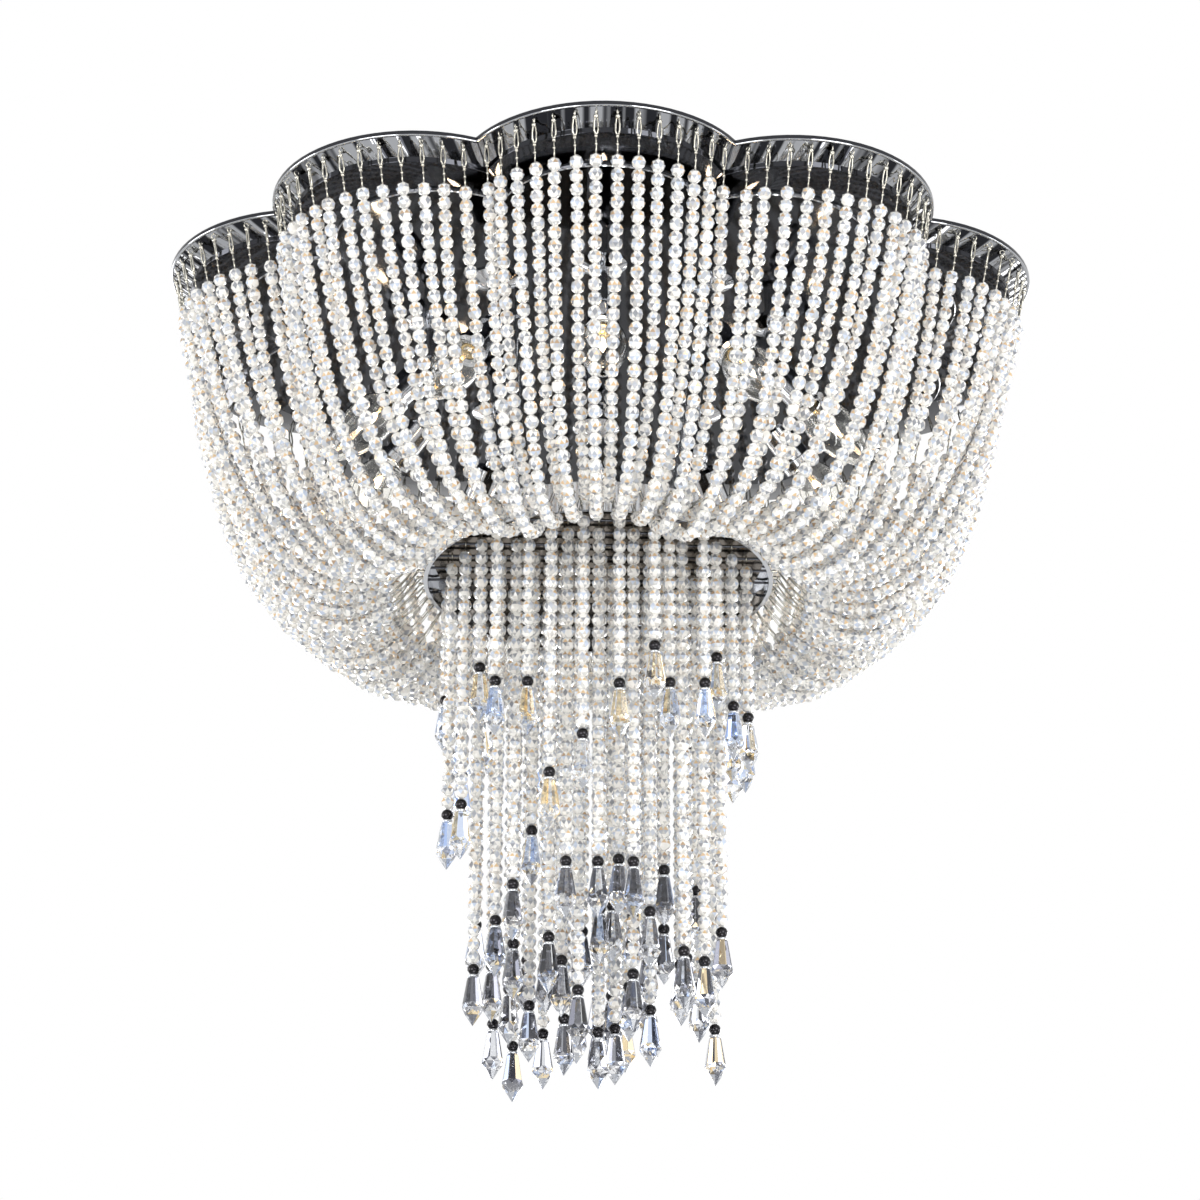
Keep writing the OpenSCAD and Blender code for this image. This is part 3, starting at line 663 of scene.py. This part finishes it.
def rim_link_shape():
    """Link from pan to first bead: a small ring, a long narrow loop of wire, two balls and a pin."""
    a = np.linspace(0, 2 * np.pi, 10, endpoint=False)
    ring_r, ring_z = 1.75, -0.4
    ring = np.column_stack([0 * a, ring_r * np.cos(a), ring_z + ring_r * np.sin(a)])
    # The loop is an oval, wider below than above
    half_wide, half_tall, loop_z = 1.9, 7.2, -9.2
    wide = half_wide * (0.75 - 0.25 * np.sin(a))
    loop = np.column_stack([wide * np.cos(a), 0 * a, loop_z + half_tall * np.sin(a)])
    pin = np.array([[0, 0, -16.0], [0, 0, -21.0], [0.15, 0, -26.0], [0, 0, -LINK_LEN - 0.8]])
    thin_wire, loop_wire = 0.55, 0.72
    return join(
        [
            tube(ring, thin_wire, 5, True),
            tube(loop, loop_wire, 5, True),
            ball(1.9, (0, 0, -3.4)),
            ball(1.4, (0, 0, -17.4)),
            ball(1.1, (0.1, 0, -23.0)),
            tube(pin, thin_wire, 5),
        ]
    )


LINK, LINK_FACES = rim_link_shape()
LINK_TWIST = 0.9
BARE_WIRE_R = 0.32
# How far each of a pair of bare wires stands from the middle, from the last bead down to the pin
BARE_APART = np.array([0.2, 0.95, 0.95, 0.25])[:, None]
links, wires = [], []
for k in range(LOBES):
    for i in range(PER_LOBE):
        length = LONG_WIRE if i % 2 == 0 else SHORT_WIRE
        count = LONG_BEADS if i % 2 == 0 else SHORT_BEADS
        p, along, side, _ = strand_line(i, np.array([length, length - LINK_LEN]))
        p, along, side = (turn_z(v, lobe_turn(k)) for v in (p, along, side))
        up = (p[0] - p[1]) / np.linalg.norm(p[0] - p[1])
        out = np.cross(up, side[0])
        twist = LINK_TWIST * (hashed(1, 31 * k + i)[0] - 0.5)
        right = side[0] * np.cos(twist) + out * np.sin(twist)
        links.append((place(LINK, p[0], right, np.cross(up, right), up), LINK_FACES))
        last = length - LINK_LEN - PITCH * count
        marks = np.array([last + 0.8, last * 0.66, last * 0.33, 1.2])
        q, _, across, _ = strand_line(i, marks)
        q, across = turn_z(q, lobe_turn(k)), turn_z(across, lobe_turn(k))
        for sign in (-1, 1):
            wires.append(tube(q + across * BARE_APART * sign, BARE_WIRE_R, 4))
wire_work = (("rim_wire_links", links, "rim_links"), ("bare_wire_pairs", wires, "strand_wires"))
for name, pieces, node in wire_work:
    points, faces = join(pieces)
    build(name, points, faces, [silver_wire], "fixed_frame", [node], smooth=True)


def turned(profile, sides=24, closed=False):
    """A profile of (radius, z) carried round the Z axis, its ends cut flat unless it is closed."""
    profile = np.asarray(profile, dtype=float)
    r, z = profile[:, :1], profile[:, 1:]
    a = np.arange(sides) * 2 * np.pi / sides
    p = np.stack([r * np.cos(a), r * np.sin(a), np.repeat(z, sides, 1)], axis=-1)
    faces = [grid_quads(len(profile), sides, wrap_columns=True, wrap_rows=closed)[:, ::-1]]
    if not closed:
        last = (len(profile) - 1) * sides
        faces.append(np.array([np.arange(sides), last + np.arange(sides)[::-1]]))
    return p.reshape(-1, 3), faces


# Tail
# Strands slide on their rods, by up to half of ROD_SLIDE each way
ROD_SLIDE = 5.0
# Drops on strands of at most HIGH_DROP beads hang before the bright tail, so the painted dark reflections on
# their flats are less dark
HIGH_DROP, HIGH_DARK = 24, 0.8


def row_places(k):
    """The x, y and bead count of the strands of row k.

    The count grows by zones towards the middle, with a spread of 0 to 1 by a rule of whole numbers, as in
    the part's source.
    """
    y = k * ROW_PITCH
    shift = 0.5 if abs(k) % 2 else 0.0
    last = int(np.floor(np.sqrt(TAIL_R**2 - y**2) / TAIL_PITCH - shift))
    j = np.arange(-last - int(2 * shift), last + 1)
    x = (j + shift) * TAIL_PITCH
    spread = ((7 * (j + 20) + 5 * (k + 20) + 3 * (j + 20) * (k + 20)) % 11) / 10
    r = np.hypot(x, y)
    outer, middle = OUTER_BEADS + OUTER_MORE * spread, MIDDLE_BEADS + MIDDLE_MORE * spread
    inner = INNER_BEADS + INNER_MORE * spread
    count = np.where(r >= OUTER_ZONE, outer, np.where(r >= MIDDLE_ZONE, middle, inner))
    slid = ROD_SLIDE * (hashed(len(x), k + 60) - 0.5)
    return x + slid, y, np.floor(count + 0.5).astype(int)


def cut_drop():
    """A pear drop with eight sides: a collar, a long crown, a girdle of triangles, and the point.

    Its 16 crown flats come first, then 16 triangles at the girdle, 24 down to the point, and the flat top.
    """
    heights = [0.0, -1.6, -20.5, -DROP_BELLY, -28.6]
    ring = eight_sided(heights, [3.3, 4.2, 7.3, DROP_W / 2, 4.9], [0, 0, 0, 0.5, 0])
    i = np.arange(SIDES)
    j = (i + 1) % SIDES
    top, collar, shoulder, girdle, low, tip = (n * SIDES for n in range(6))
    bands = ((top, collar), (collar, shoulder))
    crown = [np.stack([up + i, down + i, down + j, up + j], 1) for up, down in bands]
    belly = [
        np.stack([shoulder + i, girdle + i, shoulder + j], 1),
        np.stack([shoulder + j, girdle + i, girdle + j], 1),
    ]
    point = [
        np.stack([girdle + i, low + j, girdle + j], 1),
        np.stack([girdle + i, low + i, low + j], 1),
        np.stack([low + i, np.full(SIDES, tip), low + j], 1),
    ]
    points = np.concatenate([ring.reshape(-1, 3), [[0, 0, -DROP_LEN]]])
    return points, np.concatenate(crown), np.concatenate(belly + point), i[None]


DROP, DROP_QUADS, DROP_TRIS, DROP_CAP = cut_drop()
CAP_BALL, CAP_BALL_FACES = ball(CAP_D / 2 - 0.2, (0, 0, -0.1 - CAP_D / 2), 12, 8)
collar_line = [(2.2, -8.3), (3.2, -8.5), (3.8, -9.0), (3.9, -10.4), (3.5, -10.6)]
COLLAR, COLLAR_FACES = turned(collar_line, 12)
eye_turn = np.linspace(0, 2 * np.pi, 10, endpoint=False)
eye_line = np.column_stack([0 * eye_turn, 2.0 * np.cos(eye_turn), 2.0 * np.sin(eye_turn)])
EYE, EYE_FACES = tube(eye_line, 0.6, 5, True)
NECK, NECK_FACES = tube(np.array([[0, 0, -2.2], [0, 0, -4.0], [0, 0, -EYE_NECK - 0.8]]), 0.5, 5)


def tail_centres(x, y, count):
    """Bead centres of a tail strand: one below the other, PITCH apart, from its hook down."""
    z = -ROD_DEPTH - EYE_NECK - PITCH * (np.arange(count) + 0.5)
    return np.column_stack([np.full(count, x), np.full(count, y), z])


for n in range(1, 2 * ROWS_SIDE + 2):
    k = n - ROWS_SIDE - 1
    body = f"tail_body_{n}"
    xs, y, counts = row_places(k)
    centres = np.concatenate([tail_centres(x, y, c) for x, c in zip(xs, counts)])
    m = len(centres)
    string_beads(
        f"tail_strands_{n}",
        centres,
        np.tile([0.0, 0.0, 1.0], (m, 1)),
        np.tile([1.0, 0.0, 0.0], (m, 1)),
        hashed(m, 40 + n) * np.pi * 2,
        body,
        [f"tail_row_{n}"],
    )
    hooks = []
    for x in xs:
        spot = np.array([x, y, -ROD_DEPTH])
        hooks += [(EYE + spot, EYE_FACES), (NECK + spot, NECK_FACES)]
    points, faces = join(hooks)
    build(f"tail_hooks_{n}", points, faces, [silver_wire], body, [], smooth=True)
    caps, drops = [], []
    for order, (x, c) in enumerate(zip(xs, counts)):
        spot = np.array([x, y, -ROD_DEPTH - EYE_NECK - c * PITCH])
        caps += [(CAP_BALL + spot, CAP_BALL_FACES), (COLLAR + spot, COLLAR_FACES)]
        spun = turn_z(DROP, hashed(1, n * 17 + order)[0] * np.pi)
        drops.append((spun + spot + [0, 0, -CAP_TOTAL], [DROP_QUADS, DROP_TRIS, DROP_CAP]))
    points, faces = join(drops)
    painted_light_pick = []
    for order, c in enumerate(counts):
        # Crown flats take painted dark reflections by turns; the rest of the drop is clearer towards its
        # point
        side = hashed(SIDES, n * 17 + order)
        dark = 1.0 if c > HIGH_DROP else HIGH_DARK
        by_turns = (np.arange(SIDES) + order) % 2 == 0
        crown = dark * np.where(by_turns, 0.84 + 0.16 * side, 0.5 + 0.45 * side)
        girdle = 0.4 + 0.58 * dark * hashed(2 * SIDES, n + 20 + order)
        point = 0.86 * hashed(3 * SIDES, n + 40 + order)
        painted_light_pick += [crown, crown, girdle, point, [0.9]]
    build(
        f"glass_drops_{n}",
        points,
        faces,
        [drop_crystal],
        body,
        [f"drop_row_{n}"],
        painted_light_pick=np.concatenate(painted_light_pick),
    )
    points, faces = join(caps)
    kinds = [0] * len(CAP_BALL_FACES) + [1] * len(COLLAR_FACES)
    which = np.concatenate([np.full(len(f), kinds[m % len(kinds)]) for m, f in enumerate(faces)])
    finishes = [black_cap, chrome]
    build(f"ball_caps_{n}", points, faces, finishes, body, [], smooth=True, index=which)


# Lamps
def on_lamp(points, k):
    """Points drawn pointing down the Z axis, leaned outwards and carried to lamp k."""
    c, s = np.cos(LAMP_LEAN), np.sin(LAMP_LEAN)
    x, y, z = points[:, 0], points[:, 1], points[:, 2]
    leaned = np.column_stack([c * x - s * z, y, s * x + c * z])
    return turn_z(leaned + [LAMP_AT, 0, -LAMP_DROP], lobe_turn(k))


def bulb_line(t):
    """Candle bulb outline: a cubic curve with guide points (7, 0), (25, 10), (18, 50) and (0, GLASS_LEN)."""
    r = 7 * (1 - t) ** 3 + 75 * t * (1 - t) ** 2 + 54 * t * t * (1 - t)
    s = 30 * t * (1 - t) ** 2 + 150 * t * t * (1 - t) + GLASS_LEN * t**3
    return r, s


t = np.linspace(0, 0.985, 16)
r, s = bulb_line(t)
GLASS_WALL, TIP_HOLE = 0.8, 0.15
glass_top = -HOLDER_END - 0.5
outer = np.column_stack([r, glass_top - s])
inner = np.column_stack([np.maximum(r - GLASS_WALL, TIP_HOLE), glass_top - s * 0.985])[::-1]
SHELL, SHELL_FACES = turned(np.concatenate([outer, inner]), 20, True)
flame = [(0.3, 0.0), (2.0, -2.0), (3.0, -6.0), (2.9, -10.0), (2.0, -15.0), (1.0, -19.0), (0.3, -22.0)]
HOT, HOT_FACES = turned([(r, glass_top - 14 + z) for r, z in flame], 10)
foot = [(0.2, -0.1), (4.2, -0.2), (2.4, -5), (1.4, -14), (0.2, -14)]
SUPPORT, SUPPORT_FACES = turned([(r, glass_top + z) for r, z in foot], 12)
cap_line = [(0.2, -18.6), (2.6, -18.7), (3.2, -20), (6.4, -21), (6.9, -23), (6.9, -45.2), (0.2, -45.3)]
CAP_SHELL, CAP_FACES = turned(cap_line, 20)
for k in range(LOBES):
    n, body = k + 1, f"bulb_body_{k + 1}"
    shell, kept = on_lamp(SHELL, k), [f"bulb_{n}"]
    build(f"candle_glass_{n}", shell, SHELL_FACES, [bulb_glass], body, kept, smooth=True)
    points, faces = join([(on_lamp(HOT, k), HOT_FACES), (on_lamp(SUPPORT, k), SUPPORT_FACES)])
    which = np.concatenate([np.full(len(f), m >= len(HOT_FACES)) for m, f in enumerate(faces)])
    finishes = [hot_wire, bulb_glass]
    build(f"candle_wire_{n}", points, faces, finishes, body, [], smooth=True, index=which)
    cap = on_lamp(CAP_SHELL, k)
    build(f"candle_cap_{n}", cap, CAP_FACES, [gilt], body, [], smooth=True, sharp=40)

# CAD nodes that keep their shape
for node, finish in {
    "ceiling_bracket": zinc,
    "bracket_studs": zinc,
    "cap_nuts": chrome,
    "terminal_block": white_plastic,
    "hanger_rods": chrome,
    "rod_nuts": chrome,
    "cover_dishes": chrome,
    "lamp_stems": chrome,
    "stem_nuts": gilt,
    "lampholders": chrome,
    "lower_ring": chrome,
    "tail_tray": tray_mirror,
    "tail_rods": smoked_chrome,
    "ring_pins": silver_wire,
}.items():
    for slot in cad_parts[node].material_slots:
        slot.material = finish

# Camera at the photograph's place, fitted to the lobes of the pan, the ring and the ends of the tail
FRAME_PX, FOCAL_PX = 1200, 4054.6
camera = bpy.data.cameras.new("view")
camera.sensor_width = 36.0
camera.lens = FOCAL_PX / FRAME_PX * camera.sensor_width
viewer = bpy.data.objects.new("view", camera)
bpy.context.scene.collection.objects.link(viewer)
pitch, yaw, roll = np.radians(24.034), np.radians(0.8975), np.radians(0.1908)
forward = np.array([np.sin(yaw) * np.cos(pitch), np.cos(yaw) * np.cos(pitch), np.sin(pitch)])
right = np.cross(forward, [0, 0, 1])
right /= np.linalg.norm(right)
up = np.cross(right, forward)
right, up = np.cos(roll) * right + np.sin(roll) * up, -np.sin(roll) * right + np.cos(roll) * up
spot = np.array([-0.0406945, -2.6867934, -1.4227731])
axes = np.column_stack([right, up, -forward, spot])
viewer.matrix_world = Matrix(np.vstack([axes, [0, 0, 0, 1]]).tolist())
camera.clip_start, camera.clip_end = 0.05, 50
bpy.context.scene.camera = viewer


def seen_straight(tree):
    """One for a ray seen directly, in a mirror or through glass, and nothing for light on a surface."""
    path = add(tree, "ShaderNodeLightPath")
    seen = path.outputs["Is Camera Ray"]
    for kind in ("Is Glossy Ray", "Is Transmission Ray"):
        either = {0: seen, 1: path.outputs[kind]}
        seen = add(tree, "ShaderNodeMath", {"operation": "MAXIMUM"}, either).outputs[0]
    return seen


# Floor, in metres, far below the light
FLOOR_HALF, FLOOR_Z = 30.0, -4.6
corners = [(-1, -1), (1, -1), (1, 1), (-1, 1)]
floor_mesh = bpy.data.meshes.new("floor")
floor_mesh.from_pydata([(x * FLOOR_HALF, y * FLOOR_HALF, FLOOR_Z) for x, y in corners], [], [[0, 1, 2, 3]])
floor = bpy.data.objects.new("floor", floor_mesh)
bpy.context.scene.collection.objects.link(floor)
pale, tree, out = finish_start("pale_floor")
ground = add(tree, "ShaderNodeBsdfDiffuse", {"Color": linear("#c8c8c8")})
lit = add(tree, "ShaderNodeEmission", {"Color": linear("#f2f2f2"), "Strength": 0.6})
both = add(tree, "ShaderNodeMixShader", None, {0: seen_straight(tree), 1: ground.outputs[0]})
sum_of = add(tree, "ShaderNodeAddShader", None, {0: ground.outputs[0], 1: lit.outputs[0]})
tree.links.new(sum_of.outputs[0], both.inputs[2])
tree.links.new(both.outputs[0], out.inputs["Surface"])
floor_mesh.materials.append(pale)

# World: white to the eye and in mirrors and glass, a dim even room for what it lights
world = bpy.data.worlds.new("studio")
bpy.context.scene.world = world
world.use_nodes = True
tree = world.node_tree
tree.nodes.clear()
soft = add(tree, "ShaderNodeBackground", {"Color": linear("#ffffff"), "Strength": 0.55})
white = add(tree, "ShaderNodeBackground", {"Color": linear("#ffffff"), "Strength": 1.0})
room = {0: seen_straight(tree), 1: soft.outputs[0], 2: white.outputs[0]}
mix = add(tree, "ShaderNodeMixShader", None, room)
tree.links.new(mix.outputs[0], add(tree, "ShaderNodeOutputWorld").inputs["Surface"])

# Studio lamps, in metres. They face a place on the axis at this height
FACED_Z = -0.25


def soft_box(name, azimuth, height, away, width, radiance):
    """A square studio lamp at an azimuth from the front in degrees, a height and a distance.

    Its power is radiance times pi times its area.
    """
    lamp = bpy.data.lights.new(name, "AREA")
    lamp.size, lamp.energy = width, radiance * np.pi * width**2
    o = bpy.data.objects.new(name, lamp)
    bpy.context.scene.collection.objects.link(o)
    a = np.radians(azimuth)
    o.location = (away * np.sin(a), -away * np.cos(a), height)
    o.rotation_euler = (Vector((0, 0, FACED_Z)) - o.location).to_track_quat("-Z", "Y").to_euler()
    o.visible_camera = False


# Six round the light, high and low by turns, and one under its front
for n in range(6):
    soft_box(f"side_box_{n + 1}", 30 + 60 * n, (-0.15, -0.7)[n % 2], 2.6, 1.2, 5.9)
soft_box("low_box", 12, -2.2, 1.4, 1.0, 6.0)

bpy.context.scene.view_settings.view_transform = "Standard"
